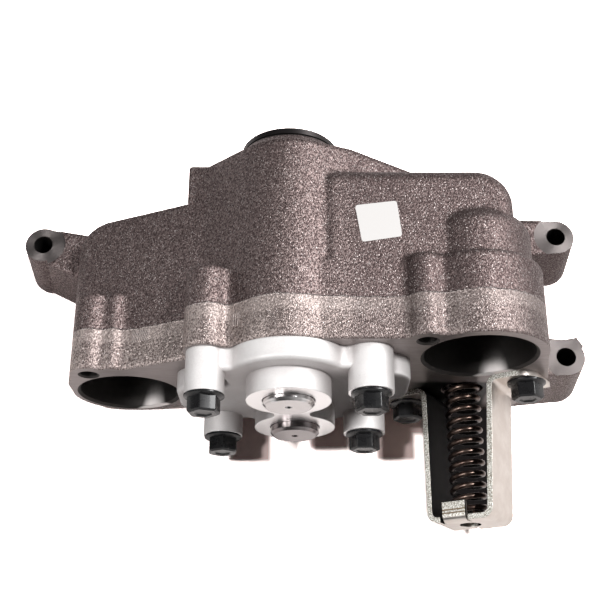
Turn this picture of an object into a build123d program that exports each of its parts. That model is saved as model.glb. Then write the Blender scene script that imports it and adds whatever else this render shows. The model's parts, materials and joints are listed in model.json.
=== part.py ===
"""Gear-type engine oil pump: cast body, gear cover, two geared shafts and a strap-held relief valve."""
import math
import os

from build123d import *

os.makedirs("parts", exist_ok=True)

# ------------------------------------------------------------------ driving dimensions, millimetres
# +X runs to the right of the front face, +Y to the rear, +Z up. z = 0 is the mounting plane under the ears.

# Shafts and pump gears
drive_z = 91.7                  # height of the drive shaft's axis
gear_module = 4.5
gear_teeth = 11
gear_width = 46.0
pressure_angle = 25.0
tooth_backlash = 0.35           # gap left between the flanks in mesh
flank_steps = 4
root_undercut = 0.01            # radians, the root is this much wider than the flank's foot
idler_shift = 3.1               # the idler axis lies this far to the right of the drive axis
shaft_r = 14.0
shaft_chamfer = 1.7
drive_shaft_proud = 3.5         # how far each shaft stands out of the cover
idler_shaft_proud = 5.0
centre_drill_r = 2.0
centre_drill_depth = 3.6
centre_drill_taper = 26.0
running_clearance = 0.03        # radial, shaft in bushing
tip_clearance = 0.15            # radial, gear in its pocket
side_clearance = 0.1            # each side of a gear
bushing_wall = 2.5
bushing_length = 18.0           # behind the gears
rear_bushing_length = 20.0
rear_bushing_inset = 2.0
bushing_end_gap = 1.0           # from the idler shaft's rear end to the bottom of its bore
shaft_room = 1.0                # radial, where a shaft runs free of its bushings
key_width = 6.0
key_height = 6.0
key_top_gap = 0.2
key_end_margin = 8.0            # from each gear face to the end of its key

# Casting of the pump body
slab_depth = 48.0               # front bosses and collars end here
gear_wall = 5.3                 # iron round the gear pocket
chamber_rear_wall = 22.0        # iron behind the gears, holds the rear bushings
cast_height = 140.0             # above every part of the casting
cast_r = 4.0                    # common outside cast radius
slab_edge_r = 3.0               # rear edge of the front bosses

# Inlet port, on the left
inlet_x = -95.7
inlet_z = 33.4
inlet_bore_r = 28.9
inlet_rim = 4.5
inlet_depth = 46.0
inlet_duct_r = 24.0             # cored duct behind the machined port
inlet_duct_end_y = 84.0
inlet_stud_x = -114.2
inlet_stud_z = 65.7
inlet_pad_x = -100.6            # small cast pad beside the stud boss
inlet_pad_z = 71.0
inlet_pad_r = 5.0

# Outlet port, on the right
outlet_x = 103.9
outlet_z = 95.5
outlet_bore_r = 30.5
outlet_rim = 6.9
outlet_depth = 46.0
outlet_duct_r = 26.0
outlet_duct_end_y = 64.0
outlet_stud_x = 73.0
outlet_stud_z = 118.8

port_chamfer = 1.4
stud_boss_r = 10.7
body_boss_r = 12.2              # round the cover bolts
slab_low_z = 6.0                # underside of the slab below the relief valve
stud_hole_r = 5.0               # tapped M10, drawn at its outside diameter
stud_hole_depth = 30.0
stud_chamfer = 1.0
passage_r = 15.0                # oil way from each port to the gears
passage_y = 26.0

# Ducts behind the ports
duct_left_x = -129.0
duct_bottom_z = 4.0
duct_belly_r = 29.0             # its two lower corners, round with the port
duct_corner_r = 14.0
duct_rear_y = 97.3
duct_plan_r = 20.0
duct_slope_x = -101.0           # the sloping roof passes through this point
duct_slope_z = 70.5
duct_roof_angle = 24.8
block_left_x = 17.0
block_right_x = 124.5
block_top_z = 122.4
block_bottom_z = 20.0
block_rear_y = 103.0
block_corner_r = 21.0
block_edge_r = 8.0
bulge_r = 32.5
bulge_depth = 78.0
bulge_edge_r = 11.0

# Tower round the drive shaft
tower_left_angle = 42.0         # slope of its left flank
tower_right_angle = 22.0        # slope of the web to the right
tower_foot_x = -58.0
tower_rear_y = 119.0
web_rear_x = 72.0
web_rear_y = 112.0
tower_bottom_z = 58.0
spigot_r = 28.0
spigot_length = 12.0            # from the tower's rear face to the spigot's
spigot_width = 4.0
spigot_chamfer = 1.0
neck_foot_r = 33.0
collar_r = 27.4
rear_boss_left = -59.5
rear_boss_right = -40.0
rear_boss_y = 123.5
rear_boss_top_z = 91.0
rear_boss_bottom_z = 62.0

# Mounting ears: (x, y) of each vertical bolt hole from the drive axis and the front face
ear_left = (-154.8, 94.9)
ear_rear = (167.0, 100.4)
ear_front = (165.5, 20.0)
ear_height = 42.0
ear_top_r = 11.2
ear_draft = 5.4                 # degrees
ear_hole_r = 5.75
ear_seat_depth = 0.8
ear_seat_r = 13.8               # the seats run out over the ears' edges

# Gear cover
cover_thickness = 12.0
cover_edge_r = 2.5
column_height = 24.1            # bolt seats and bearing faces lie in one plane
bearing_boss_r = 23.2
bearing_web_width = 20.0
bearing_web_fillet = 6.0
bearing_lip = 3.0               # thin land in front of each cover bushing
land_room = 0.35
bolt_upper_left = (-44.6, 102.4)
bolt_lower_left = (-39.8, 24.6)
bolt_upper_right = (43.7, 105.6)
bolt_lower_right = (44.1, 29.8)
column_upper_left_r = 10.6
column_lower_left_r = 11.5
column_right_r = 12.2
column_neck = 12.0              # width of the neck from each column to the plate
lobe_x = 50.75                  # lobes that close the oil ways, one each side of the gears
lobe_r = 14.25
lobe_height = 19.0              # between the centres of its two ends
lobe_rise = 10.5                # above the middle of the mesh on the right, below it on the left
outline_blend_r = 5.0           # rounds every inner corner of the cover's and the body's outline
dowel_outer_r = 7.5             # ring dowels round two of the cover bolts
dowel_wall = 1.7
dowel_length = 14.0
dowel_end_gap = 0.5

# M10 flange bolts
bolt_r = 5.0
bolt_hole_r = 5.6
flange_r = 10.9
flange_height = 1.8
head_flats = 16.0
head_height = 10.4
head_dish_r = 5.2
head_dish_depth = 0.6
bolt_tip_chamfer = 1.0
cover_bolt_length = 52.0
bracket_bolt_length = 26.0
thread_gap = 0.05
bolt_tip_room = 4.0
cover_bolt_turns = {            # how far each head stands turned about its axis, degrees
    "upper_left": 40,
    "lower_left": 25,
    "upper_right": 0,
    "lower_right": 2,
}
bracket_bolt_turn = 15

# Relief valve
relief_x = 101.8
relief_z = 40.5
relief_tilt = 31.7              # the bracket lies at this angle to the horizontal
relief_boss_r = 20.0
plunger_r = 12.4
plunger_length = 34.0
plunger_wall = 1.5
plunger_floor = 4.0
plunger_front_y = 6.0           # how far its open end sits behind the face
plunger_travel = 12.0
plunger_chamfer = 1.0
relief_bore_depth = 58.0
relief_seat_gap = 0.05
relief_seat_lip = 2.0           # the shoulder that the plunger closes against
relief_feed_r = 7.5
relief_feed_margin = 1.0        # from the end of the valve's bore to the feed
spill_r = 6.0
spill_y = 31.5
spring_r = 8.9                  # to the wire's centre
wire_r = 1.6
spring_pitch = 6.6
spring_end_gap = 0.05

# Relief bracket, a folded strap; u runs along it from the valve's axis, v across it
strap_thickness = 3.0
strap_half_inner = 16.4
strap_lean = 5.2                # the right leg's foot stands this much further out than its end
strap_half_width = 15.0
strap_front = 80.0              # from the front face to the strap's outer end
strap_bend_r = 3.0
strap_bolt_left = -35.75
strap_bolt_right = 39.75
strap_end_left = -46.5
strap_end_right = 48.5
strap_end_r = 7.0
strap_far_corner_r = 12.0
strap_hole_r = 6.0
tab_width = 13.5
tab_height = 11.0
tab_root = 6.0                  # depth of the notches beside a tab, from the strap's edge
tab_notch = 1.5
tab_bend_r = 1.0
tab_front_u = -3.5
tab_rear_u = -8.0
bracket_boss_r = 12.5

# Rear end of the drive shaft
drive_end_r = 12.0
drive_end_length = 10.0
drive_end_chamfer = 0.8
end_keyway_width = 6.0
end_keyway_height = 6.0
end_keyway_length = 7.0
end_keyway_margin = 1.5         # from the spigot's face to the keyway

# ------------------------------------------------------------------ sizes that follow from the driving ones
centre_distance = gear_module * gear_teeth
idler_z = drive_z - math.sqrt(centre_distance**2 - idler_shift**2)
pitch_r = centre_distance / 2
tip_r = pitch_r + gear_module
root_r = pitch_r - 1.25 * gear_module
pocket_r = tip_r + tip_clearance
bushing_r = shaft_r + bushing_wall
chamber_r = pocket_r + gear_wall
gear_front_y = side_clearance
pocket_depth = gear_width + 2 * side_clearance
spigot_rear_y = tower_rear_y + spigot_length
shaft_rear_y = spigot_rear_y + drive_end_length
cover_bolts_at = {
    "upper_left": bolt_upper_left,
    "lower_left": bolt_lower_left,
    "upper_right": bolt_upper_right,
    "lower_right": bolt_lower_right,
}
ear_foot_r = ear_top_r + ear_height * math.tan(math.radians(ear_draft))
inlet_rim_r = inlet_bore_r + inlet_rim
inlet_rim_diagonal = inlet_rim_r * math.sqrt(0.5)
outlet_rim_r = outlet_bore_r + outlet_rim

# The origin is the middle of the pump's footprint
drive_x = (-(ear_left[0] - ear_foot_r) - (ear_rear[0] + ear_foot_r)) / 2
face_y = (strap_front - shaft_rear_y) / 2

front = Plane(origin=(drive_x, face_y, 0), x_dir=(1, 0, 0), z_dir=(0, -1, 0))
plan = Plane(origin=(drive_x, face_y, 0))


def behind(depth):
    """The front plane moved back into the pump by depth."""
    return front.offset(-depth)


tower_r = chamber_r
end_keyway_y = spigot_rear_y + end_keyway_margin
idler_rear_y = pocket_depth + bushing_length - bushing_end_gap
relief_bore_r = plunger_r + running_clearance
relief_seat_y = plunger_front_y + plunger_length + relief_seat_gap
relief_feed_y = relief_bore_depth - relief_feed_r - relief_feed_margin
column_radii = {
    "upper_left": column_upper_left_r,
    "lower_left": column_lower_left_r,
    "upper_right": column_right_r,
    "lower_right": column_right_r,
}
axis_lean = math.degrees(math.atan2(idler_shift, drive_z - idler_z))
dowels_at = [bolt_upper_right, bolt_lower_left]
roof_slope = math.tan(math.radians(duct_roof_angle))
mesh_x = idler_shift / 2
mesh_z = (drive_z + idler_z) / 2
axes_at = [(0, drive_z), (idler_shift, idler_z)]
column_axes = {
    "upper_left": axes_at[0],
    "lower_left": axes_at[1],
    "upper_right": axes_at[0],
    "lower_right": axes_at[1],
}
studs_at = [(inlet_stud_x, inlet_stud_z), (outlet_stud_x, outlet_stud_z)]
lobes_at = [
    (mesh_x + lobe_x, mesh_z + lobe_rise),
    (mesh_x - lobe_x, mesh_z - lobe_rise),
]
relief_cos = math.cos(math.radians(relief_tilt))
relief_sin = math.sin(math.radians(relief_tilt))
bracket_bolts_at = [
    (relief_x + u * relief_cos, relief_z + u * relief_sin) for u in (strap_bolt_left, strap_bolt_right)
]


def axis_plane(axis_at, depth, turn=0):
    """Plane square to a shaft, depth behind the face. Its x axis is at the angle turn."""
    return Plane(
        origin=(drive_x + axis_at[0], face_y + depth, axis_at[1]),
        x_dir=(math.cos(math.radians(turn)), 0, math.sin(math.radians(turn))),
        z_dir=(0, -1, 0),
    )


def strip(start, end, width):
    """Corners of a straight strip from one point to another."""
    length = math.dist(start, end)
    side_x = (start[1] - end[1]) / length * width / 2
    side_z = (end[0] - start[0]) / length * width / 2
    return [
        (start[0] + side_x, start[1] + side_z),
        (end[0] + side_x, end[1] + side_z),
        (end[0] - side_x, end[1] - side_z),
        (start[0] - side_x, start[1] - side_z),
    ]


def roof_z(x):
    """Height of the left duct's sloping roof at x."""
    return duct_slope_z + (x - duct_slope_x) * roof_slope


# ------------------------------------------------------------------ pump body
# Front slab: the machined face with every boss on it
with BuildPart() as front_slab:
    with BuildSketch(front) as slab_outline:
        with Locations(axes_at):
            Circle(chamber_r)
        with Locations((inlet_x, inlet_z)):
            Circle(inlet_rim_r)
        with Locations((outlet_x, outlet_z)):
            Circle(outlet_rim_r)
        with Locations(studs_at):
            Circle(stud_boss_r)
        with Locations((inlet_pad_x, inlet_pad_z)):
            Circle(inlet_pad_r)
        with Locations(list(cover_bolts_at.values())):
            Circle(body_boss_r)
        with Locations((relief_x, relief_z)):
            Circle(relief_boss_r)
        with Locations(bracket_bolts_at):
            Circle(bracket_boss_r)
        # between the inlet port, its stud boss and the gears, under the sloping roof
        Polygon(
            (inlet_x - inlet_rim_r, inlet_z),
            (inlet_stud_x - stud_boss_r, inlet_stud_z),
            (duct_slope_x, duct_slope_z),
            (bolt_upper_left[0] - body_boss_r, roof_z(bolt_upper_left[0] - body_boss_r)),
            (0, drive_z),
            (idler_shift, idler_z - chamber_r),
            (bolt_lower_left[0], bolt_lower_left[1] - body_boss_r),
            (inlet_x + inlet_rim_diagonal, inlet_z - inlet_rim_diagonal),
            align=None,
        )
        # between the gears, the outlet port and the relief valve, under the flat top
        Polygon(
            (0, drive_z),
            (block_left_x, block_top_z),
            (outlet_stud_x - stud_boss_r, block_top_z),
            (outlet_x, outlet_z),
            (outlet_x + outlet_rim_r, outlet_z),
            (bracket_bolts_at[1][0] + bracket_boss_r, bracket_bolts_at[1][1]),
            (block_right_x + bracket_boss_r, slab_low_z),
            (relief_x, slab_low_z),
            (bracket_bolts_at[0][0], bracket_bolts_at[0][1] - bracket_boss_r),
            (bolt_lower_right[0], bolt_lower_right[1] - body_boss_r),
            (idler_shift, idler_z - chamber_r),
            align=None,
        )
        offset(amount=outline_blend_r, kind=Kind.ARC)
        offset(amount=-outline_blend_r, kind=Kind.ARC)
    extrude(amount=-slab_depth)
    fillet(front_slab.faces().sort_by(Axis.Y)[-1].outer_wire().edges(), slab_edge_r)

# Left duct with its sloping roof, the tower round the drive shaft, and the web behind the right duct
flank_angle = math.radians(tower_left_angle)
web_angle = math.radians(tower_right_angle)
flank_top = (-tower_r * math.sin(flank_angle), drive_z + tower_r * math.cos(flank_angle))
web_top = (tower_r * math.sin(web_angle), drive_z + tower_r * math.cos(web_angle))
flank_foot_x = (roof_z(0) - flank_top[1] + flank_top[0] * math.tan(flank_angle)) / (
    math.tan(flank_angle) - roof_slope
)
with BuildPart() as duct_and_tower:
    with BuildSketch(front) as roof_profile:
        with BuildLine():
            Polyline(
                web_top,
                (web_rear_x, web_top[1] - (web_rear_x - web_top[0]) * math.tan(web_angle)),
                (web_rear_x, tower_bottom_z),
                (tower_foot_x, tower_bottom_z),
                (tower_foot_x, duct_bottom_z),
                (duct_left_x, duct_bottom_z),
                (duct_left_x, roof_z(duct_left_x)),
                (flank_foot_x, roof_z(flank_foot_x)),
                flank_top,
            )
            RadiusArc(flank_top, web_top, tower_r)
        make_face()
        for roof_x in (duct_left_x, flank_foot_x):
            roof_corner = roof_profile.vertices().sort_by_distance((roof_x, roof_z(roof_x)))[0]
            fillet(roof_corner, duct_corner_r)
        for belly_x in (duct_left_x, tower_foot_x):
            belly_corner = roof_profile.vertices().sort_by_distance((belly_x, duct_bottom_z))[0]
            fillet(belly_corner, duct_belly_r)
    extrude(amount=-tower_rear_y)
    with BuildSketch(plan) as roof_plan:
        Polygon(
            (duct_left_x - cast_r, 0),
            (web_rear_x, 0),
            (web_rear_x, web_rear_y),
            (tower_r, tower_rear_y),
            (tower_foot_x, tower_rear_y),
            (tower_foot_x, duct_rear_y),
            (duct_left_x, duct_rear_y),
            (duct_left_x, 0),
            align=None,
        )
        fillet(roof_plan.vertices().sort_by_distance((duct_left_x, duct_rear_y))[0], duct_plan_r)
    extrude(amount=cast_height, mode=Mode.INTERSECT)

# Right duct: a block with rounded corners, and the round bulge behind the outlet port
with BuildPart() as right_duct:
    with BuildSketch(plan.offset(block_bottom_z)) as block_plan:
        with Locations((block_left_x, 0)):
            Rectangle(block_right_x - block_left_x, block_rear_y, align=(Align.MIN, Align.MIN))
        fillet(block_plan.vertices().sort_by_distance((block_right_x, block_rear_y))[0], block_corner_r)
        fillet(block_plan.vertices().sort_by_distance((block_left_x, block_rear_y))[0], block_edge_r)
    extrude(amount=block_top_z - block_bottom_z)
    block_top_edges = right_duct.faces().sort_by(Axis.Z)[-1].edges()
    fillet(block_top_edges.sort_by(Axis.Y)[1:], block_edge_r)
with BuildPart() as outlet_bulge:
    with BuildSketch(front):
        with Locations((outlet_x, outlet_z)):
            Circle(bulge_r)
    extrude(amount=-bulge_depth)
    fillet(outlet_bulge.faces().sort_by(Axis.Y)[-1].edges(), bulge_edge_r)

# Chambers behind the gears, with room for the rear bushings
with BuildPart() as chambers:
    with BuildSketch(front):
        with Locations(axes_at):
            Circle(chamber_r)
        Polygon(*strip(axes_at[0], axes_at[1], 2 * chamber_r), align=None)
    extrude(amount=-(pocket_depth + chamber_rear_wall))
    fillet(chambers.faces().sort_by(Axis.Y)[-1].edges(), cast_r)

# Neck and machined spigot at the rear of the tower, turned about the drive axis
with BuildPart() as rear_neck:
    with BuildSketch(Plane(origin=(drive_x, face_y, drive_z), x_dir=(1, 0, 0), z_dir=(0, 0, 1))):
        Polygon(
            (0, web_rear_y),
            (neck_foot_r, web_rear_y),
            (neck_foot_r, tower_rear_y),
            (collar_r, spigot_rear_y - spigot_width),
            (spigot_r, spigot_rear_y - spigot_width),
            (spigot_r, spigot_rear_y - spigot_chamfer),
            (spigot_r - spigot_chamfer, spigot_rear_y),
            (0, spigot_rear_y),
            align=None,
        )
    revolve(axis=Axis((drive_x, face_y, drive_z), (0, 1, 0)))

# Cast boss behind the tower's left flank
with BuildPart() as rear_boss:
    with BuildSketch(plan.offset(rear_boss_bottom_z)):
        with Locations((rear_boss_left, duct_rear_y)):
            Rectangle(
                rear_boss_right - rear_boss_left, rear_boss_y - duct_rear_y, align=(Align.MIN, Align.MIN)
            )
    extrude(amount=rear_boss_top_z - rear_boss_bottom_z)
    fillet(rear_boss.faces().sort_by(Axis.Y)[-1].edges(), cast_r)

# Mounting ears with vertical holes, tapering toward their tops; arm corners are measured from the hole
ears = [
    (
        ear_left,
        [(-0.2, 11), (27.8, 5.9), (39.8, 0.1), (39.8, -14.9), (34.8, -28.9), (24.8, -23.4), (3.8, -12.9)],
    ),
    (ear_rear, [(-49, 11.6), (0, 11), (0, -11), (-43, -16.4), (-57, -16.4), (-57, -0.4)]),
    (
        ear_front,
        [(-47.5, -15.8), (-0.5, -11), (10.8, 7.2), (7.1, 12.2), (-0.5, 11), (-37.5, 14), (-55.5, 14)],
    ),
]
ear_solids = []
for hole_at, arm in ears:
    with BuildPart() as ear:
        with BuildSketch(plan.offset(ear_height)):
            with Locations(hole_at):
                Circle(ear_top_r)
            Polygon(*[(hole_at[0] + right, hole_at[1] + back) for right, back in arm], align=None)
        extrude(amount=-ear_height, taper=-ear_draft)
    ear_solids.append(ear.part)

with BuildPart() as pump_body:
    add(front_slab.part)
    add(duct_and_tower.part)
    add(right_duct.part)
    add(outlet_bulge.part)
    add(chambers.part)
    add(rear_neck.part)
    add(rear_boss.part)
    add(ear_solids)
    # gear pocket
    with BuildSketch(front):
        with Locations(axes_at):
            Circle(pocket_r)
    extrude(amount=-pocket_depth, mode=Mode.SUBTRACT)
    # bore of the drive shaft, with a bushing seat at each end
    with BuildSketch(front):
        with Locations(axes_at[0]):
            Circle(shaft_r + shaft_room)
    extrude(amount=-spigot_rear_y, mode=Mode.SUBTRACT)
    with BuildSketch(behind(pocket_depth)):
        with Locations(axes_at):
            Circle(bushing_r)
    extrude(amount=-bushing_length, mode=Mode.SUBTRACT)
    with BuildSketch(behind(spigot_rear_y - rear_bushing_inset)):
        with Locations(axes_at[0]):
            Circle(bushing_r)
    extrude(amount=rear_bushing_length, mode=Mode.SUBTRACT)
    # ports
    port_cuts = [
        ((inlet_x, inlet_z), inlet_bore_r, inlet_depth),
        ((inlet_x, inlet_z), inlet_duct_r, inlet_duct_end_y),
        ((outlet_x, outlet_z), outlet_bore_r, outlet_depth),
        ((outlet_x, outlet_z), outlet_duct_r, outlet_duct_end_y),
    ]
    for port_at, radius, depth in port_cuts:
        with BuildSketch(front):
            with Locations(port_at):
                Circle(radius)
        extrude(amount=-depth, mode=Mode.SUBTRACT)
    mouths = [
        ((inlet_x, inlet_z), inlet_bore_r, port_chamfer),
        ((outlet_x, outlet_z), outlet_bore_r, port_chamfer),
        (studs_at[0], stud_hole_r, stud_chamfer),
        (studs_at[1], stud_hole_r, stud_chamfer),
    ]
    for mouth_at, radius, width in mouths:
        with BuildSketch(front):
            with Locations(mouth_at):
                Circle(radius + width)
        extrude(amount=-width, taper=45, mode=Mode.SUBTRACT)
    # oil ways from the ports to each side of the gear mesh
    for port_at in ((inlet_x, inlet_z), (outlet_x, outlet_z)):
        run = Vector(mesh_x - port_at[0], 0, mesh_z - port_at[1])
        start = Vector(drive_x + port_at[0], face_y + passage_y, port_at[1])
        with BuildSketch(Plane(origin=start, z_dir=run)):
            Circle(passage_r)
        extrude(amount=run.length, mode=Mode.SUBTRACT)
    # relief valve: bore, shoulder, feed from the outlet port and spill hole
    with BuildSketch(front):
        with Locations((relief_x, relief_z)):
            Circle(relief_bore_r)
    extrude(amount=-relief_seat_y, mode=Mode.SUBTRACT)
    with BuildSketch(front):
        with Locations((relief_x, relief_z)):
            Circle(relief_bore_r - relief_seat_lip)
    extrude(amount=-relief_bore_depth, mode=Mode.SUBTRACT)
    with BuildSketch(plan.offset(relief_z)):
        with Locations((relief_x, relief_feed_y)):
            Circle(relief_feed_r)
    extrude(amount=outlet_z - relief_z, mode=Mode.SUBTRACT)
    with BuildSketch(plan.offset(relief_z)):
        with Locations((relief_x, spill_y)):
            Circle(spill_r)
    extrude(amount=-relief_z, mode=Mode.SUBTRACT)
    # bolt holes, ring dowel seats and the ports' tapped holes
    with BuildSketch(front):
        with Locations(list(cover_bolts_at.values())):
            Circle(bolt_r + thread_gap)
    extrude(amount=-(cover_bolt_length - column_height + bolt_tip_room), mode=Mode.SUBTRACT)
    with BuildSketch(front):
        with Locations(dowels_at):
            Circle(dowel_outer_r)
    extrude(amount=-(dowel_length / 2 + dowel_end_gap), mode=Mode.SUBTRACT)
    with BuildSketch(front):
        with Locations(bracket_bolts_at):
            Circle(bolt_r + thread_gap)
    extrude(amount=-(bracket_bolt_length - strap_thickness + bolt_tip_room), mode=Mode.SUBTRACT)
    with BuildSketch(front):
        with Locations(studs_at):
            Circle(stud_hole_r)
    extrude(amount=-stud_hole_depth, mode=Mode.SUBTRACT)
    # ear holes with their seats
    for hole_at in (ear_left, ear_rear, ear_front):
        with BuildSketch(plan):
            with Locations(hole_at):
                Circle(ear_hole_r)
        extrude(amount=ear_height, mode=Mode.SUBTRACT)
        with BuildSketch(plan.offset(ear_height)):
            with Locations(hole_at):
                Circle(ear_seat_r)
        extrude(amount=-ear_seat_depth, mode=Mode.SUBTRACT)
pump_body.part.label = "pump_body"
export_step(pump_body.part, "parts/pump_body.step")

# ------------------------------------------------------------------ gear cover
with BuildPart() as gear_cover:
    with BuildSketch(front) as cover_outline:
        with Locations(axes_at):
            Circle(chamber_r)
        for corner, radius in column_radii.items():
            with Locations(cover_bolts_at[corner]):
                Circle(radius)
        for corner, axis_at in column_axes.items():
            Polygon(*strip(axis_at, cover_bolts_at[corner], column_neck), align=None)
        for lobe_at in lobes_at:
            with Locations(lobe_at):
                SlotCenterToCenter(lobe_height, 2 * lobe_r, rotation=90)
        Polygon(*strip(lobes_at[0], lobes_at[1], lobe_r), align=None)
        offset(amount=outline_blend_r, kind=Kind.ARC)
        offset(amount=-outline_blend_r, kind=Kind.ARC)
    extrude(amount=cover_thickness)
    fillet(gear_cover.faces().sort_by(Axis.Y)[0].edges(), cover_edge_r)
    # columns under the bolt heads
    for corner, radius in column_radii.items():
        with BuildSketch(front):
            with Locations(cover_bolts_at[corner]):
                Circle(radius)
        extrude(amount=column_height)
    # joined boss round both bearings
    with BuildSketch(front) as bearing_outline:
        with Locations(axes_at):
            Circle(bearing_boss_r)
        with Locations((mesh_x, mesh_z)):
            Rectangle(bearing_web_width, centre_distance / 2, rotation=axis_lean)
        offset(amount=bearing_web_fillet, kind=Kind.ARC)
        offset(amount=-bearing_web_fillet, kind=Kind.ARC)
    extrude(amount=column_height)
    # bearing bores with a thin land at the front
    with BuildSketch(front):
        with Locations(axes_at):
            Circle(shaft_r + land_room)
    extrude(amount=column_height, mode=Mode.SUBTRACT)
    with BuildSketch(front):
        with Locations(axes_at):
            Circle(bushing_r)
    extrude(amount=column_height - bearing_lip, mode=Mode.SUBTRACT)
    # bolt holes and ring dowel seats
    with BuildSketch(front):
        with Locations(list(cover_bolts_at.values())):
            Circle(bolt_hole_r)
    extrude(amount=column_height, mode=Mode.SUBTRACT)
    with BuildSketch(front):
        with Locations(dowels_at):
            Circle(dowel_outer_r)
    extrude(amount=dowel_length / 2 + dowel_end_gap, mode=Mode.SUBTRACT)
gear_cover.part.label = "gear_cover"
export_step(gear_cover.part, "parts/gear_cover.step")

# ------------------------------------------------------------------ pump gears and their shafts
base_r = pitch_r * math.cos(math.radians(pressure_angle))
involute_turn = math.tan(math.radians(pressure_angle)) - math.radians(pressure_angle)
half_tooth = math.pi / (2 * gear_teeth) - tooth_backlash / (2 * pitch_r) + involute_turn


def polar_point(radius, angle):
    """A point of the gear's outline."""
    return (radius * math.cos(angle), radius * math.sin(angle))


def flank_point(radius, middle, side):
    """A point of an involute flank, for a tooth centred on the angle middle; side is 1 or -1."""
    roll = math.sqrt((radius / base_r) ** 2 - 1)
    return polar_point(radius, middle + side * (half_tooth - (roll - math.atan(roll))))


flank_radii = [base_r + (tip_r - base_r) * step / flank_steps for step in range(flank_steps + 1)]
root_angle = half_tooth + root_undercut
tooth_angle = 2 * math.pi / gear_teeth


def pump_gear(axis_at, turn):
    """A pump gear with one tooth at the angle turn and its keyway a quarter turn on."""
    with BuildPart() as gear:
        with BuildSketch(axis_plane(axis_at, gear_front_y, turn)):
            with BuildLine():
                for tooth in range(gear_teeth):
                    middle = tooth * tooth_angle
                    near_flank = [flank_point(radius, middle, -1) for radius in flank_radii]
                    far_flank = [flank_point(radius, middle, 1) for radius in reversed(flank_radii)]
                    root_start = polar_point(root_r, middle + root_angle)
                    root_middle = polar_point(root_r, middle + tooth_angle / 2)
                    root_end = polar_point(root_r, middle + tooth_angle - root_angle)
                    Line(polar_point(root_r, middle - root_angle), near_flank[0])
                    Spline(*near_flank)
                    ThreePointArc(near_flank[-1], polar_point(tip_r, middle), far_flank[0])
                    Spline(*far_flank)
                    Line(far_flank[-1], root_start)
                    ThreePointArc(root_start, root_middle, root_end)
            make_face()
            Circle(shaft_r, mode=Mode.SUBTRACT)
            with Locations((0, shaft_r)):
                Rectangle(key_width, key_height + 2 * key_top_gap, mode=Mode.SUBTRACT)
        extrude(amount=-gear_width)
    return gear.part


def gear_key(axis_at, turn):
    """The key between a gear and its shaft."""
    with BuildPart() as key:
        with BuildSketch(axis_plane(axis_at, gear_front_y + key_end_margin, turn)):
            with Locations((0, shaft_r)):
                Rectangle(key_width, key_height)
        extrude(amount=-(gear_width - 2 * key_end_margin))
    return key.part


mesh_turn = math.degrees(math.atan2(idler_z - drive_z, idler_shift))
half_pitch_turn = 180 / gear_teeth
gear_turns = {"drive": mesh_turn, "idler": mesh_turn + 180 + half_pitch_turn}
gear_axes = {"drive": axes_at[0], "idler": axes_at[1]}
for shaft_name, axis_at in gear_axes.items():
    gear_part = pump_gear(axis_at, gear_turns[shaft_name])
    gear_part.label = f"{shaft_name}_pump_gear"
    export_step(gear_part, f"parts/{shaft_name}_pump_gear.step")
    key_part = gear_key(axis_at, gear_turns[shaft_name])
    key_part.label = f"{shaft_name}_gear_key"
    export_step(key_part, f"parts/{shaft_name}_gear_key.step")

drive_front_y = -(column_height + drive_shaft_proud)
with BuildPart() as drive_shaft:
    with BuildSketch(axis_plane(axes_at[0], drive_front_y)):
        Circle(shaft_r)
    extrude(amount=drive_front_y - spigot_rear_y)
    chamfer(drive_shaft.faces().filter_by(GeomType.PLANE).edges(), shaft_chamfer)
    with BuildSketch(axis_plane(axes_at[0], spigot_rear_y)):
        Circle(drive_end_r)
    extrude(amount=-drive_end_length)
    chamfer(drive_shaft.faces().sort_by(Axis.Y)[-1].edges(), drive_end_chamfer)
    with BuildSketch(axis_plane(axes_at[0], drive_front_y)):
        Circle(centre_drill_r)
    extrude(amount=-centre_drill_depth, taper=centre_drill_taper, mode=Mode.SUBTRACT)
    with BuildSketch(axis_plane(axes_at[0], gear_front_y + key_end_margin, gear_turns["drive"])):
        with Locations((0, shaft_r)):
            Rectangle(key_width, key_height)
    extrude(amount=-(gear_width - 2 * key_end_margin), mode=Mode.SUBTRACT)
    with BuildSketch(axis_plane(axes_at[0], end_keyway_y, -90)):
        with Locations((drive_end_r, 0)):
            Rectangle(end_keyway_height, end_keyway_width)
    extrude(amount=-end_keyway_length, mode=Mode.SUBTRACT)
drive_shaft.part.label = "drive_shaft"
export_step(drive_shaft.part, "parts/drive_shaft.step")

idler_front_y = -(column_height + idler_shaft_proud)
with BuildPart() as idler_shaft:
    with BuildSketch(axis_plane(axes_at[1], idler_front_y)):
        Circle(shaft_r)
    extrude(amount=idler_front_y - idler_rear_y)
    chamfer(idler_shaft.faces().filter_by(GeomType.PLANE).edges(), shaft_chamfer)
    with BuildSketch(axis_plane(axes_at[1], idler_front_y)):
        Circle(centre_drill_r)
    extrude(amount=-centre_drill_depth, taper=centre_drill_taper, mode=Mode.SUBTRACT)
    with BuildSketch(axis_plane(axes_at[1], gear_front_y + key_end_margin, gear_turns["idler"])):
        with Locations((0, shaft_r)):
            Rectangle(key_width, key_height)
    extrude(amount=-(gear_width - 2 * key_end_margin), mode=Mode.SUBTRACT)
idler_shaft.part.label = "idler_shaft"
export_step(idler_shaft.part, "parts/idler_shaft.step")

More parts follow.
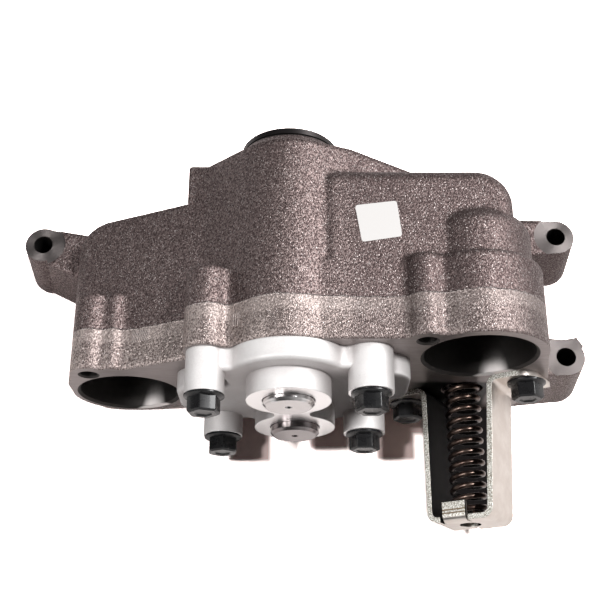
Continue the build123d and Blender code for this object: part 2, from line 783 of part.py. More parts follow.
# ------------------------------------------------------------------ bushings and ring dowels
cover_seat = column_height - bearing_lip
rear_seat_y = spigot_rear_y - rear_bushing_inset - rear_bushing_length
bushings = {
    "cover_bushing_drive": (axes_at[0], -cover_seat, cover_seat),
    "cover_bushing_idler": (axes_at[1], -cover_seat, cover_seat),
    "body_bushing_drive": (axes_at[0], pocket_depth, bushing_length),
    "body_bushing_idler": (axes_at[1], pocket_depth, bushing_length),
    "rear_bushing": (axes_at[0], rear_seat_y, rear_bushing_length),
}
for name, (axis_at, front_end_y, length) in bushings.items():
    with BuildPart() as bushing:
        with BuildSketch(axis_plane(axis_at, front_end_y)):
            Circle(bushing_r)
            Circle(shaft_r + running_clearance, mode=Mode.SUBTRACT)
        extrude(amount=-length)
    bushing.part.label = name
    export_step(bushing.part, f"parts/{name}.step")

for name, dowel_at in {"upper_ring_dowel": dowels_at[0], "lower_ring_dowel": dowels_at[1]}.items():
    with BuildPart() as ring_dowel:
        with BuildSketch(axis_plane(dowel_at, -dowel_length / 2)):
            Circle(dowel_outer_r)
            Circle(dowel_outer_r - dowel_wall, mode=Mode.SUBTRACT)
        extrude(amount=-dowel_length)
    ring_dowel.part.label = name
    export_step(ring_dowel.part, f"parts/{name}.step")


# ------------------------------------------------------------------ flange bolts
def flange_bolt(seat, length):
    """An M10 flange bolt whose head stands on the plane seat."""
    with BuildPart() as bolt:
        with BuildSketch(seat):
            Circle(bolt_r)
        extrude(amount=-length)
        chamfer(bolt.faces().sort_by(Axis.Y)[-1].edges(), bolt_tip_chamfer)
        with BuildSketch(seat):
            Circle(flange_r)
        extrude(amount=flange_height)
        with BuildSketch(seat):
            RegularPolygon(head_flats / 2, 6, major_radius=False)
        extrude(amount=head_height)
        with BuildSketch(seat.offset(head_height)):
            Circle(head_dish_r)
        extrude(amount=-head_dish_depth, mode=Mode.SUBTRACT)
    return bolt.part


for corner, bolt_at in cover_bolts_at.items():
    seat = axis_plane(bolt_at, -column_height, cover_bolt_turns[corner])
    bolt_part = flange_bolt(seat, cover_bolt_length)
    bolt_part.label = f"cover_bolt_{corner}"
    export_step(bolt_part, f"parts/cover_bolt_{corner}.step")
for side, bolt_at in zip(("left", "right"), bracket_bolts_at):
    seat = axis_plane(bolt_at, -strap_thickness, bracket_bolt_turn)
    bolt_part = flange_bolt(seat, bracket_bolt_length)
    bolt_part.label = f"bracket_bolt_{side}"
    export_step(bolt_part, f"parts/bracket_bolt_{side}.step")

# ------------------------------------------------------------------ relief valve
plunger_rear_y = plunger_front_y + plunger_length
relief_at = (relief_x, relief_z)
with BuildPart() as relief_plunger:
    with BuildSketch(axis_plane(relief_at, plunger_front_y)):
        Circle(plunger_r)
    extrude(amount=-plunger_length)
    chamfer(relief_plunger.faces().sort_by(Axis.Y)[-1].edges(), plunger_chamfer)
    with BuildSketch(axis_plane(relief_at, plunger_front_y)):
        Circle(plunger_r - plunger_wall)
    extrude(amount=-(plunger_length - plunger_floor), mode=Mode.SUBTRACT)
relief_plunger.part.label = "relief_plunger"
export_step(relief_plunger.part, "parts/relief_plunger.step")

spring_front_y = -(strap_front - strap_thickness - wire_r - spring_end_gap)
spring_rear_y = plunger_rear_y - plunger_floor - wire_r - spring_end_gap
with BuildPart() as relief_spring:
    with BuildLine() as coil:
        Helix(
            spring_pitch,
            spring_rear_y - spring_front_y,
            spring_r,
            center=axis_plane(relief_at, spring_rear_y).origin,
            direction=(0, -1, 0),
        )
    with BuildSketch(Plane(origin=coil.line @ 0, z_dir=coil.line % 0)):
        Circle(wire_r)
    sweep(path=coil.line, is_frenet=True)
relief_spring.part.label = "relief_spring"
export_step(relief_spring.part, "parts/relief_spring.step")

# ------------------------------------------------------------------ relief bracket
across_dir = Vector(-relief_sin, 0, relief_cos)
along_dir = Vector(relief_cos, 0, relief_sin)
bracket_origin = (drive_x + relief_x, face_y, relief_z)
bracket_side = Plane(origin=bracket_origin, x_dir=along_dir, z_dir=-across_dir)
bracket_end = Plane(origin=bracket_origin, x_dir=across_dir, z_dir=along_dir)
bracket_face = Plane(origin=bracket_origin, x_dir=along_dir, z_dir=(0, -1, 0))
leg = strap_half_inner + strap_thickness
right_foot = strap_half_inner + strap_lean
right_heel = leg + strap_lean
strap_inside = strap_front - strap_thickness
with BuildPart() as relief_bracket:
    with BuildSketch(bracket_side) as strap_profile:
        Polygon(
            (strap_end_left, 0),
            (-strap_half_inner, 0),
            (-strap_half_inner, strap_inside),
            (strap_half_inner, strap_inside),
            (right_foot, 0),
            (strap_end_right, 0),
            (strap_end_right, strap_thickness),
            (right_heel, strap_thickness),
            (leg, strap_front),
            (-leg, strap_front),
            (-leg, strap_thickness),
            (strap_end_left, strap_thickness),
            align=None,
        )
        outer_bends = [
            (-strap_half_inner, 0),
            (right_foot, 0),
            (leg, strap_front),
            (-leg, strap_front),
        ]
        inner_bends = [
            (-strap_half_inner, strap_inside),
            (strap_half_inner, strap_inside),
            (right_heel, strap_thickness),
            (-leg, strap_thickness),
        ]
        for bend in outer_bends:
            fillet(strap_profile.vertices().sort_by_distance(bend)[0], strap_bend_r + strap_thickness)
        for bend in inner_bends:
            fillet(strap_profile.vertices().sort_by_distance(bend)[0], strap_bend_r)
    extrude(amount=strap_half_width, both=True)
    # flange ends
    with BuildSketch(bracket_face) as strap_plan:
        with Locations(((strap_end_left + strap_end_right) / 2, 0)):
            Rectangle(strap_end_right - strap_end_left, 2 * strap_half_width)
        far_corner = (strap_end_right, strap_half_width)
        fillet(strap_plan.vertices().sort_by_distance(far_corner)[0], strap_far_corner_r)
        for corner in ((strap_end_left, strap_half_width), (strap_end_left, -strap_half_width)):
            fillet(strap_plan.vertices().sort_by_distance(corner)[0], strap_end_r)
    extrude(amount=strap_front, mode=Mode.INTERSECT)
    # holes
    with BuildSketch(bracket_face):
        with Locations((strap_bolt_left, 0), (strap_bolt_right, 0)):
            Circle(bolt_hole_r)
    extrude(amount=strap_thickness, mode=Mode.SUBTRACT)
    with BuildSketch(bracket_face.offset(strap_inside)):
        Circle(strap_hole_r)
    extrude(amount=strap_thickness, mode=Mode.SUBTRACT)
    # tabs folded back beside the spring
    for tab_u, side in ((tab_front_u, 1), (tab_rear_u, -1)):
        with BuildSketch(bracket_face.offset(strap_inside)):
            with Locations((tab_u, side * strap_half_width)):
                Rectangle(tab_width + 2 * tab_notch, 2 * tab_root)
        extrude(amount=strap_thickness, mode=Mode.SUBTRACT)
        with BuildSketch(bracket_end.offset(tab_u - tab_width / 2)) as tab_profile:
            Polygon(
                (side * (strap_half_width - tab_root), strap_inside),
                (side * (strap_half_width - strap_thickness), strap_inside),
                (side * (strap_half_width - strap_thickness), strap_front - tab_height),
                (side * strap_half_width, strap_front - tab_height),
                (side * strap_half_width, strap_front),
                (side * (strap_half_width - tab_root), strap_front),
                align=None,
            )
            bend = (side * strap_half_width, strap_front)
            fillet(tab_profile.vertices().sort_by_distance(bend)[0], strap_thickness + tab_bend_r)
            bend = (side * (strap_half_width - strap_thickness), strap_inside)
            fillet(tab_profile.vertices().sort_by_distance(bend)[0], tab_bend_r)
        extrude(amount=tab_width)
relief_bracket.part.label = "relief_bracket"
export_step(relief_bracket.part, "parts/relief_bracket.step")
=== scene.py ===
import json
import math

import bmesh
import bpy
from mathutils import Matrix, Vector


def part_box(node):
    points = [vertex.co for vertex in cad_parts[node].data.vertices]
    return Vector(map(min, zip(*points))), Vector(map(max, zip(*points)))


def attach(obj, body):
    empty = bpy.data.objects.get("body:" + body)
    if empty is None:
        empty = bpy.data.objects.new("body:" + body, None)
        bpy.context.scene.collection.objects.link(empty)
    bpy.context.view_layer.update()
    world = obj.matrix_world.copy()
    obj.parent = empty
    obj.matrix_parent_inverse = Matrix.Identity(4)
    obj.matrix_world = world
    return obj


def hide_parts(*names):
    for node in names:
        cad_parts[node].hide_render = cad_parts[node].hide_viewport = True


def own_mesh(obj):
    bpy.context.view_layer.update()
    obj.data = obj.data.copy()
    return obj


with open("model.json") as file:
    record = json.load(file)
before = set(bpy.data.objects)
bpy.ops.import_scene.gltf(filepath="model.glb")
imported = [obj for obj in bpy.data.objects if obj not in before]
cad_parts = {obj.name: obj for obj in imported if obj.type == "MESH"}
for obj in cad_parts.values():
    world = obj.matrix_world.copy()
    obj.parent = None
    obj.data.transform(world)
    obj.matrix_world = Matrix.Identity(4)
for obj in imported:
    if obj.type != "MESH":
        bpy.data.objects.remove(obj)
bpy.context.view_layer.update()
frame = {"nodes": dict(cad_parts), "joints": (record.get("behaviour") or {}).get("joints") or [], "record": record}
print("frame loaded:", len(frame["nodes"]), "nodes")

# places read from the frame, in metres
joints = {joint["name"]: joint for joint in frame["joints"]}
mounts = {mount["name"]: mount for mount in frame["record"]["mounts"]}
driveAxis = Vector(joints["drive_spin"]["pos_m"])
idlerAxis = Vector(joints["idler_spin"]["pos_m"])
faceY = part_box("gear_cover")[1].y  # the body's machined front face, where the cover sits
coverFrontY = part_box("gear_cover")[0].y
portMounts = [mounts[name] for name in ("inlet_port", "outlet_port")]
ports = [(Vector(mount["pos_m"]), mount["dims"]["r_mm"] / 1000) for mount in portMounts]
earAxes = [Vector(mounts[name]["pos_m"]) for name in ("ear_hole_left", "ear_hole_rear", "ear_hole_front")]
studAxes = [Vector(mounts[name]["pos_m"]) for name in ("inlet_stud_hole", "outlet_stud_hole")]
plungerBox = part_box("relief_plunger")
reliefAxis = (plungerBox[0] + plungerBox[1]) / 2
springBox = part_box("relief_spring")
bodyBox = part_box("pump_body")

# ---- shader helpers

flatCosines = (0.90, 0.97)  # a face counts as square to an axis past these
mixSockets = {"VECTOR": (4, 5, 1), "RGBA": (6, 7, 2)}  # a Mix node's two values and its result
socketNames = {
    "colour": "Base Color",
    "specular": "Specular IOR Level",
    "coat": "Coat Weight",
    "coatRoughness": "Coat Roughness",
}


class Field:
    # a shader value that works in sums and products
    def __init__(self, finish, socket):
        self.finish = finish
        self.socket = socket

    def math(self, operation, *others):
        return self.finish.math(operation, self, *others)

    def __add__(self, other):
        return self.math("ADD", other)

    def __radd__(self, other):
        return self.finish.math("ADD", other, self)

    def __sub__(self, other):
        return self.math("SUBTRACT", other)

    def __rsub__(self, other):
        return self.finish.math("SUBTRACT", other, self)

    def __mul__(self, other):
        return self.math("MULTIPLY", other)

    def __rmul__(self, other):
        return self.finish.math("MULTIPLY", other, self)

    def __neg__(self):
        return self * -1

    def __abs__(self):
        return self.math("ABSOLUTE")

    def most(self, other):
        return self.math("MAXIMUM", other)

    def least(self, other):
        return self.math("MINIMUM", other)

    def above(self, start, end):
        # 0 below start, 1 above end, smooth between
        wanted = {"Value": self, "From Min": start, "From Max": end}
        return self.finish.node("ShaderNodeMapRange", {"interpolation_type": "SMOOTHSTEP"}, wanted)

    def below(self, start, end):
        return 1 - self.above(start, end)

    def between(self, low, high, fade):
        # 1 inside low and high, less within the fade from either
        return self.above(low, low + fade) * self.below(high - fade, high)

    def facing(self):
        # for one part of the normal: 1 on the faces square to that axis
        return self.above(*flatCosines)

    def waves(self):
        # from 0 to 1 and back, once for each full turn in radians
        return self.math("SINE") * 0.5 + 0.5


def opaque(colour):
    # three numbers get an alpha of 1, a shader value stays as it is
    return colour if isinstance(colour, Field) else (*colour, 1.0)


def blend(mask, first, second):
    # first where the mask is 0, second where it is 1
    return first * (1 - mask) + second * mask


def weighted(shares, **fields):
    # the sum of the fields, each times its share
    return sum(fields[name] * share for name, share in shares.items())


class Finish:
    # the nodes of one procedural material, or of the world
    def __init__(self, owner, coordinates="Object"):
        self.owner = owner
        owner.use_nodes = True
        self.tree = owner.node_tree
        self.tree.nodes.clear()
        self.place = self.node("ShaderNodeTexCoord", outputs=(coordinates,))
        self.x, self.y, self.z = self.parts(self.place)

    def node(self, kind, settings=None, inputs=None, outputs=(0,)):
        made = self.tree.nodes.new(kind)
        for key, value in (settings or {}).items():
            setattr(made, key, value)
        for key, value in (inputs or {}).items():
            if isinstance(value, Field):
                self.tree.links.new(value.socket, made.inputs[key])
            else:
                made.inputs[key].default_value = value
        fields = [Field(self, made.outputs[key]) for key in outputs]
        return fields[0] if len(fields) == 1 else fields

    def math(self, operation, *values):
        return self.node("ShaderNodeMath", {"operation": operation}, dict(enumerate(values)))

    def vector(self, operation, *values):
        return self.node("ShaderNodeVectorMath", {"operation": operation}, dict(enumerate(values)))

    def parts(self, vector):
        return self.node("ShaderNodeSeparateXYZ", inputs={0: vector}, outputs="XYZ")

    def normal(self):
        return self.parts(self.node("ShaderNodeNewGeometry", outputs=("Normal",)))

    def stretched(self, scale):
        if scale is None:
            return self.place
        return self.node("ShaderNodeMapping", inputs={"Vector": self.place, "Scale": scale})

    def noise(self, scale, detail=3.0, roughness=0.6, stretch=None):
        wanted = {"Vector": self.stretched(stretch), "Scale": scale, "Detail": detail, "Roughness": roughness}
        return self.node("ShaderNodeTexNoise", inputs=wanted)

    def cells(self, scale, stretch=None):
        # how far each point is from its cell's middle, and a random vector for the cell
        wanted = {"Vector": self.stretched(stretch), "Scale": scale}
        return self.node("ShaderNodeTexVoronoi", inputs=wanted, outputs=("Distance", "Color"))

    def facets(self, normal, chance, amount):
        # the normal tilted by a random vector, as on the facets of a blasted casting
        centred = self.vector("SUBTRACT", chance, (0.5, 0.5, 0.5))
        scaled = self.vector("MULTIPLY", centred, (amount, amount, amount))
        return self.vector("NORMALIZE", self.vector("ADD", scaled, normal))

    def mix(self, kind, mask, first, second):
        low, high, result = mixSockets[kind]
        return self.node("ShaderNodeMix", {"data_type": kind}, {0: mask, low: first, high: second}, (result,))

    def mixColour(self, mask, first, second):
        return self.mix("RGBA", mask, opaque(first), opaque(second))

    def reach(self, first, second):
        # the length of a line with these two legs
        return (first * first + second * second).math("SQRT")

    def fromAxisY(self, centre):
        # distance from a line along Y
        return self.reach(self.x - centre.x, self.z - centre.z)

    def fromAxisZ(self, centre):
        return self.reach(self.x - centre.x, self.y - centre.y)

    def bump(self, height, distance, strength=1.0, normal=None):
        wanted = {"Height": height, "Distance": distance, "Strength": strength}
        if normal is not None:
            wanted["Normal"] = normal
        return self.node("ShaderNodeBump", inputs=wanted)

    def softEdges(self, radius, samples=6):
        return self.node("ShaderNodeBevel", {"samples": samples}, {"Radius": radius})

    def shade(self, colour, **sockets):
        wanted = {socketNames.get(key, key.title()): value for key, value in sockets.items()}
        wanted["Base Color"] = opaque(colour)
        return self.node("ShaderNodeBsdfPrincipled", inputs=wanted)

    def glow(self, colour):
        # a surface that shows its colour whatever the light
        wanted = {"Base Color": opaque((0.0, 0.0, 0.0)), "Specular IOR Level": 0.0, "Roughness": 1.0}
        wanted.update({"Emission Color": opaque(colour), "Emission Strength": 1.0})
        return self.node("ShaderNodeBsdfPrincipled", inputs=wanted)

    def diffuse(self, colour):
        return self.node("ShaderNodeBsdfDiffuse", inputs={"Color": opaque(colour)})

    def backdrop(self, strength):
        return self.node("ShaderNodeBackground", inputs={"Color": (1.0, 1.0, 1.0, 1.0), "Strength": strength})

    def either(self, mask, first, second):
        # the first shader where the mask is 0, the second where it is 1
        return self.node("ShaderNodeMixShader", inputs={0: mask, 1: first, 2: second})

    def finishWith(self, shader, kind="ShaderNodeOutputMaterial"):
        self.node(kind, inputs={"Surface": shader}, outputs=())
        return self.owner

    def surface(self, **sockets):
        return self.finishWith(self.shade(**sockets))


def newFinish(name):
    return Finish(bpy.data.materials.new(name))


# ---- cast iron, with its machined faces and bores

# where the worked surfaces end, in metres: each pair is the start and the end of a soft edge
castWork = {
    "faceSkin": (0.00008, 0.0002),  # behind the front face
    "footSkin": (0.0001, 0.0003),  # above the feet
    "portWall": (0.0016, 0.0018),  # outside a port's radius
    "portDepth": (0.0459, 0.0461),
    "studWall": (0.0061, 0.0062),
    "studDepth": (0.031, 0.032),
    "earWall": (0.0059, 0.0060),
    "earSeat": (0.01378, 0.01384),
    "spigotWall": (0.0282, 0.0284),
    "spigotFoot": (-0.0081, -0.0079),  # from the rear end
    # painted shade on the front face between the relief bracket's legs, from the valve's axis
    "oilLeft": (-0.034, -0.024),
    "oilRight": (0.0145, 0.0175),
    "oilTop": (0.010, 0.016),
}

castLook = {
    "pit": (0.070, 0.049, 0.048),
    "skin": (0.250, 0.192, 0.184),
    # the colour of the painted glints, also laid on the seam and the chisel marks
    "glint": (0.80, 0.72, 0.70),
    "frontPit": (0.14, 0.108, 0.102),
    "frontSkin": (0.375, 0.308, 0.288),
    "band": (0.62, 0.52, 0.485),  # the smoother strip just in front of the parting plane
    "machined": (0.30, 0.262, 0.255),
    "machinedDark": (0.22, 0.19, 0.185),
    "seat": (0.155, 0.138, 0.134),
    # painted shade: the walls inside the ports, the stud holes and the ear holes, darkened as inside a hole
    "bore": (0.055, 0.050, 0.048),
    "boreSheen": (0.95, 0.89, 0.87),  # painted highlight where the walls by the rim would catch the left light
    "spigot": (0.055, 0.050, 0.050),
    # painted shade on the front face between the relief bracket's legs
    "oil": (0.012, 0.011, 0.010),
    # the grain: scales per metre, and where dark grit turns light
    "grainScale": 1700.0,
    "grainStretch": (1.0, 0.5, 1.0),
    "clumpScale": 800.0,
    "patchScale": 24.0,
    "cellScale": 2000.0,
    "cellStretch": (1.0, 0.6, 1.0),
    "grit": {"grain": 0.60, "clump": 0.40},
    "gritEdge": (0.43, 0.57),
    "glintChance": (0.80, 0.95),
    "glintReach": (0.25, 0.60),
    "facets": 0.25,  # how far the blasted facets tilt
    "edge": 0.0045,  # how far the shader rounds cast edges
    # the mould's parting plane, behind the face, and the seam that it leaves
    "parting": 0.024,
    "partingFade": 0.0003,
    "wobbleScale": 55.0,
    "wobble": 0.0036,
    "flash": 0.0007,  # half width of the seam
    "flashClumps": (0.42, 0.60),
    "bandDepth": 0.0065,
    "bandFade": 0.003,
    "bandPatches": (0.30, 0.66),
    "bandLeast": 0.25,
    "lightPatches": (0.50, 0.80),
    "leftSides": (-0.55, -0.05),  # these parts of the normal along X count as facing left, and get painted light in front of the seam
    "block": 0.030,  # painted shade: the plain block, darkened towards the pits' colour, starts here, from the drive axis
    "blockFade": 0.008,
    # chisel marks in front of the seam: left and right from the drive axis, rear end behind the face, lean
    "scars": ((-0.0900, -0.0785, 0.0235, 0.5), (-0.0315, -0.0255, 0.0190, 0.0)),
    "scarLength": 0.0085,
    "scarStart": 0.0015,
    "scarFade": 0.001,
    "scarTops": (0.2, 0.5),  # of the normal, upwards
    # ridges, rings and grooves, in radians per metre
    "scarPitch": 4800.0,
    "seatRings": 17000.0,
    "boreGrooves": 16000.0,
    "grooveShake": 6.0,  # how far the grain moves the grooves
    # lines on the turned faces
    "turningScale": 700.0,
    "turningStretch": (0.15, 1.0, 1.0),
    "turningEdge": (0.3, 0.7),
    # the painted highlight inside the ports
    "sheenAngle": -66,
    "sheenEdge": (0.945, 0.995),
    "sheenLean": 2.2,
    "sheenDepth": 0.018,
    # how much of a tone each mask lays on
    "frontShares": {"front": 0.80, "patches": 0.16},
    "bandShares": {"plain": 0.30, "shade": 0.30},
    "leftShares": {"plain": 0.08, "shade": 0.80},
    "blockShare": 0.42,
    "scarShare": 0.5,
    "glintShares": {"glint": 0.6, "flash": 0.5},
    "cutShares": {"turning": 0.6, "patch": 0.3},
    "specular": 0.3,
    "metal": 0.90,
    "metalWorked": 0.96,
    "metalLost": {"front": 0.16, "band": 0.20, "glint": 0.40},
    "rough": 0.57,
    "roughLost": {"shade": 0.12, "glint": 0.10, "front": 0.09},
    "roughWorked": 0.34,
    "roughGained": {"turning": 0.08, "bore": 0.14},
    "heights": {"grain": 0.55, "clump": 0.45, "front": 0.6, "flash": 0.5, "scars": 0.6},
    "castDepth": 0.00050,
    "markDepth": 0.00005,
    "markTurning": 0.5,
}


def portWalls(finish, depth):
    # the ports' bores, and the painted highlight on their walls by the rim
    look = castLook
    turn = math.radians(look["sheenAngle"])
    bores = sheen = 0
    for axis, radius in ports:
        wall = [radius + reach for reach in castWork["portWall"]]
        near = finish.fromAxisY(axis).below(*wall)
        bores = (near * depth.below(*castWork["portDepth"])).most(bores)
        along = (finish.x - axis.x) * (math.cos(turn) / radius)
        along = along + (finish.z - axis.z) * (math.sin(turn) / radius)
        rim = (along - depth * look["sheenLean"]).above(*look["sheenEdge"])
        sheen = (rim * depth.below(0.0, look["sheenDepth"]) * near).most(sheen)
    return bores, sheen


def earSeats(finish, upward):
    # the ears' machined seats and bores, and the distance from the nearest ear's axis
    seats = bores = 0
    nearest = 1.0  # a metre, further than any ear
    for axis in earAxes:
        away = finish.fromAxisZ(axis)
        seats = (away.below(*castWork["earSeat"]) * upward.facing()).most(seats)
        bores = away.below(*castWork["earWall"]).most(bores)
        nearest = away.least(nearest)
    return seats, bores, nearest


def chiselMarks(finish, depth, upward):
    look = castLook
    marks = 0
    aside = finish.x - driveAxis.x
    for left, right, rear, lean in look["scars"]:
        ridges = ((aside + finish.y * lean) * look["scarPitch"]).waves()
        front = rear - look["scarLength"]
        long = depth.above(front, front + look["scarStart"]) * depth.below(rear - look["scarFade"], rear)
        marks = ridges * aside.between(left, right, look["scarFade"]) * long + marks
    return marks * upward.above(*look["scarTops"])


def frontShadeBetweenLegs(finish):
    # painted shade: the front face between the relief bracket's legs
    aside = finish.x - reliefAxis.x
    wide = aside.above(*castWork["oilLeft"]) * aside.below(*castWork["oilRight"])
    return wide * (finish.z - reliefAxis.z).below(*castWork["oilTop"])


def castIron():
    look = castLook
    finish = newFinish("castIron")
    nx, ny, nz = finish.normal()
    depth = finish.y - faceY
    # worked surfaces, by place
    face = depth.below(*castWork["faceSkin"]) * (-ny).facing()
    feet = finish.z.below(*castWork["footSkin"]) * (-nz).facing()
    portBores, sheen = portWalls(finish, depth)
    seats, earBores, fromEar = earSeats(finish, nz)
    bore = portBores.most(earBores)
    for axis in studAxes:
        stud = finish.fromAxisY(axis).below(*castWork["studWall"])
        bore = bore.most(stud * depth.below(*castWork["studDepth"]))
    spigot = finish.fromAxisY(driveAxis).below(*castWork["spigotWall"])
    spigot = spigot * (finish.y - bodyBox[1].y).above(*castWork["spigotFoot"])
    machined = face.most(seats).most(feet)
    worked = machined.most(bore).most(spigot)
    # sand-cast skin
    grain = finish.noise(look["grainScale"], detail=2.0, stretch=look["grainStretch"])
    clump = finish.noise(look["clumpScale"])
    patch = finish.noise(look["patchScale"], detail=4.0)
    shade = weighted(look["grit"], grain=grain, clump=clump).above(*look["gritEdge"])
    # painted glints: bright specks on a few random cells
    fromCell, chance = finish.cells(look["cellScale"], look["cellStretch"])
    glint = finish.parts(chance)[0].above(*look["glintChance"]) * fromCell.below(*look["glintReach"])
    wobble = (finish.noise(look["wobbleScale"]) - 0.5) * look["wobble"]
    behindSeam = depth + wobble - look["parting"]
    front = behindSeam.below(-look["partingFade"], look["partingFade"])
    flash = abs(behindSeam).below(0.0, look["flash"]) * clump.above(*look["flashClumps"])
    band = front * behindSeam.above(-look["bandDepth"] - look["bandFade"], -look["bandDepth"])
    band = band * blend(patch.above(*look["bandPatches"]), look["bandLeast"], 1.0)
    scars = chiselMarks(finish, depth, nz)
    skin = finish.mixColour(shade, look["pit"], look["skin"])
    frontSkin = finish.mixColour(shade, look["frontPit"], look["frontSkin"])
    lightPatches = patch.above(*look["lightPatches"])
    skin = finish.mixColour(weighted(look["frontShares"], front=front, patches=lightPatches), skin, frontSkin)
    skin = finish.mixColour(band * weighted(look["bandShares"], plain=1, shade=shade), skin, look["band"])
    # painted light: in front of the seam, the faces that turn to the left are lightened towards the band's tone
    left = front * nx.below(*look["leftSides"])
    skin = finish.mixColour(left * weighted(look["leftShares"], plain=1, shade=shade), skin, look["band"])
    # painted shade: the plain block is darkened towards the pits' colour
    block = (finish.x - driveAxis.x).above(look["block"], look["block"] + look["blockFade"])
    skin = finish.mixColour(block * look["blockShare"], skin, look["pit"])
    skin = finish.mixColour(scars * look["scarShare"], skin, look["glint"])
    skin = finish.mixColour(weighted(look["glintShares"], glint=glint, flash=flash), skin, look["glint"])
    # colours of the worked faces
    turning = finish.noise(look["turningScale"], detail=2.0, roughness=0.5, stretch=look["turningStretch"])
    lines = weighted(look["cutShares"], turning=turning.above(*look["turningEdge"]), patch=patch)
    colour = finish.mixColour(machined, skin, finish.mixColour(lines, look["machinedDark"], look["machined"]))
    colour = finish.mixColour(seats, colour, look["seat"])
    # painted shade darkens the bores, and a painted highlight lightens their walls by the ports' rims
    colour = finish.mixColour(bore, colour, finish.mixColour(sheen * bore, look["bore"], look["boreSheen"]))
    colour = finish.mixColour(spigot, colour, look["spigot"])
    # painted shade between the relief bracket's legs
    colour = finish.mixColour(face * frontShadeBetweenLegs(finish), colour, look["oil"])
    # metal and roughness
    lost = weighted(look["metalLost"], front=front, band=band, glint=glint)
    metallic = blend(worked, look["metal"] - lost, look["metalWorked"])
    castRough = look["rough"] - weighted(look["roughLost"], shade=shade, glint=glint, front=front)
    workedRough = look["roughWorked"] + weighted(look["roughGained"], turning=turning, bore=bore)
    roughness = blend(worked, castRough, workedRough)
    # grain on the skin, tool marks on the worked faces
    height = weighted(look["heights"], grain=grain, clump=clump, front=front, flash=flash, scars=scars)
    facets = finish.facets(finish.softEdges(look["edge"]), chance, look["facets"])
    castNormal = finish.bump(height * (1 - worked), look["castDepth"], normal=facets)
    rings = (fromEar * look["seatRings"]).waves()
    grooves = (finish.y * look["boreGrooves"] + grain * look["grooveShake"]).waves()
    marks = turning * look["markTurning"] * face + rings * seats + grooves * bore
    turnedNormal = finish.bump(marks, look["markDepth"])
    normal = finish.mix("VECTOR", worked.math("GREATER_THAN", 0.5), castNormal, turnedNormal)
    polish = {"metallic": metallic, "roughness": roughness, "specular": look["specular"]}
    return finish.surface(colour=colour, normal=normal, **polish)


# ---- aluminium cover

coverLook = {
    "skin": (0.93, 0.905, 0.895),
    "shade": (0.84, 0.805, 0.795),
    "cut": (0.95, 0.93, 0.925),
    "paintedShade": (0.40, 0.36, 0.355),  # painted shade, patchy, in its corners and underneath
    "leeShade": (0.17, 0.15, 0.148),  # painted shade on the front to the right of the bosses and below
    # painted shade on the faces that turn to the right
    "side": (0.52, 0.49, 0.48),
    "cutSkin": (0.0001, 0.0002),
    "grainScale": 1500.0,
    "patchScale": 60.0,
    "skinShares": {"grain": 0.35, "patch": 0.65},
    "skinEdge": (0.35, 0.62),
    "sideParts": (0.40, 0.95),  # of the normal, to the right
    "sideShare": 0.55,
    "corner": 0.022,  # how far a corner reaches
    "cornerEdge": (0.30, 0.82),
    "cornerLeast": 0.6,
    "leeParts": (-0.85, -0.4),  # of the normal, to the front
    "leeRight": (0.010, 0.030),  # from the drive axis
    "leeTop": (0.002, 0.020),
    "leeShare": 0.85,
    "belowParts": (-0.5, 0.1),  # of the normal, upwards
    "belowShare": 0.6,
    "metal": 0.30,
    "rough": 0.50,
    "roughGrain": 0.14,
    "roughCut": 0.30,
    "heights": {"grain": 0.6, "patch": 1.4},
    "depth": 0.00022,
    "bump": 0.5,
    "edge": 0.0012,
}


def coverAluminium():
    look = coverLook
    finish = newFinish("coverAluminium")
    nx, ny, nz = finish.normal()
    cut = (finish.y - coverFrontY).below(*look["cutSkin"]) * (-ny).facing()
    grain = finish.noise(look["grainScale"], detail=2.0)
    patch = finish.noise(look["patchScale"], detail=4.0)
    tone = weighted(look["skinShares"], grain=grain, patch=patch).above(*look["skinEdge"])
    skin = finish.mixColour(tone, look["shade"], look["skin"])
    # painted shade on the faces that turn to the right
    skin = finish.mixColour(nx.above(*look["sideParts"]) * look["sideShare"], skin, look["side"])
    # painted shade in the corners, found by ambient occlusion
    outlook = finish.node("ShaderNodeAmbientOcclusion", {"samples": 6}, {"Distance": look["corner"]}, ("AO",))
    paintedShade = outlook.below(*look["cornerEdge"]) * blend(patch, look["cornerLeast"], 1.0)
    skin = finish.mixColour(paintedShade, skin, look["paintedShade"])
    # painted shade on the front faces to the right of the bosses and below
    leeShade = ny.below(*look["leeParts"]) * (finish.x - driveAxis.x).above(*look["leeRight"])
    leeShade = leeShade * (finish.z - driveAxis.z).below(*look["leeTop"])
    skin = finish.mixColour(leeShade * look["leeShare"], skin, look["leeShade"])
    # painted shade on the faces that turn downwards
    below = nz.below(*look["belowParts"]) * (1 - leeShade)
    skin = finish.mixColour(below * look["belowShare"], skin, look["paintedShade"])
    colour = finish.mixColour(cut, skin, look["cut"])
    metallic = blend(cut, look["metal"], 1.0) * (1 - leeShade * (1 - cut))
    roughness = blend(cut, look["rough"] + grain * look["roughGrain"], look["roughCut"])
    height = weighted(look["heights"], grain=grain, patch=patch) * (1 - cut)
    normal = finish.bump(height, look["depth"], look["bump"], finish.softEdges(look["edge"]))
    return finish.surface(colour=colour, metallic=metallic, roughness=roughness, normal=normal)


# ---- steels

steelLook = {
    "ground": (0.68, 0.655, 0.65),
    "groundDark": (0.52, 0.495, 0.49),
    "gear": (0.40, 0.39, 0.38),
    "bronze": (0.58, 0.40, 0.20),
    "darkLow": (0.18, 0.152, 0.152),  # darker on the idler and on what lies lower
    "darkLowShare": 0.85,
    "darkLowFade": 0.008,  # from the axes to the ends of its edge
    "ringPitch": 5200.0,  # turning marks on the shaft ends, radians per metre
    "hazeScale": 300.0,
    "hazeStretch": (1.0, 0.2, 1.0),
    "toneShares": {"marks": 0.4, "haze": 0.6},
    "toneEdge": (0.3, 0.8),
    "roughHaze": 0.12,
    "heights": {"marks": 0.6, "haze": 0.4},
    "depth": 0.00002,
    "bump": 0.5,
    "edge": 0.0003,
}


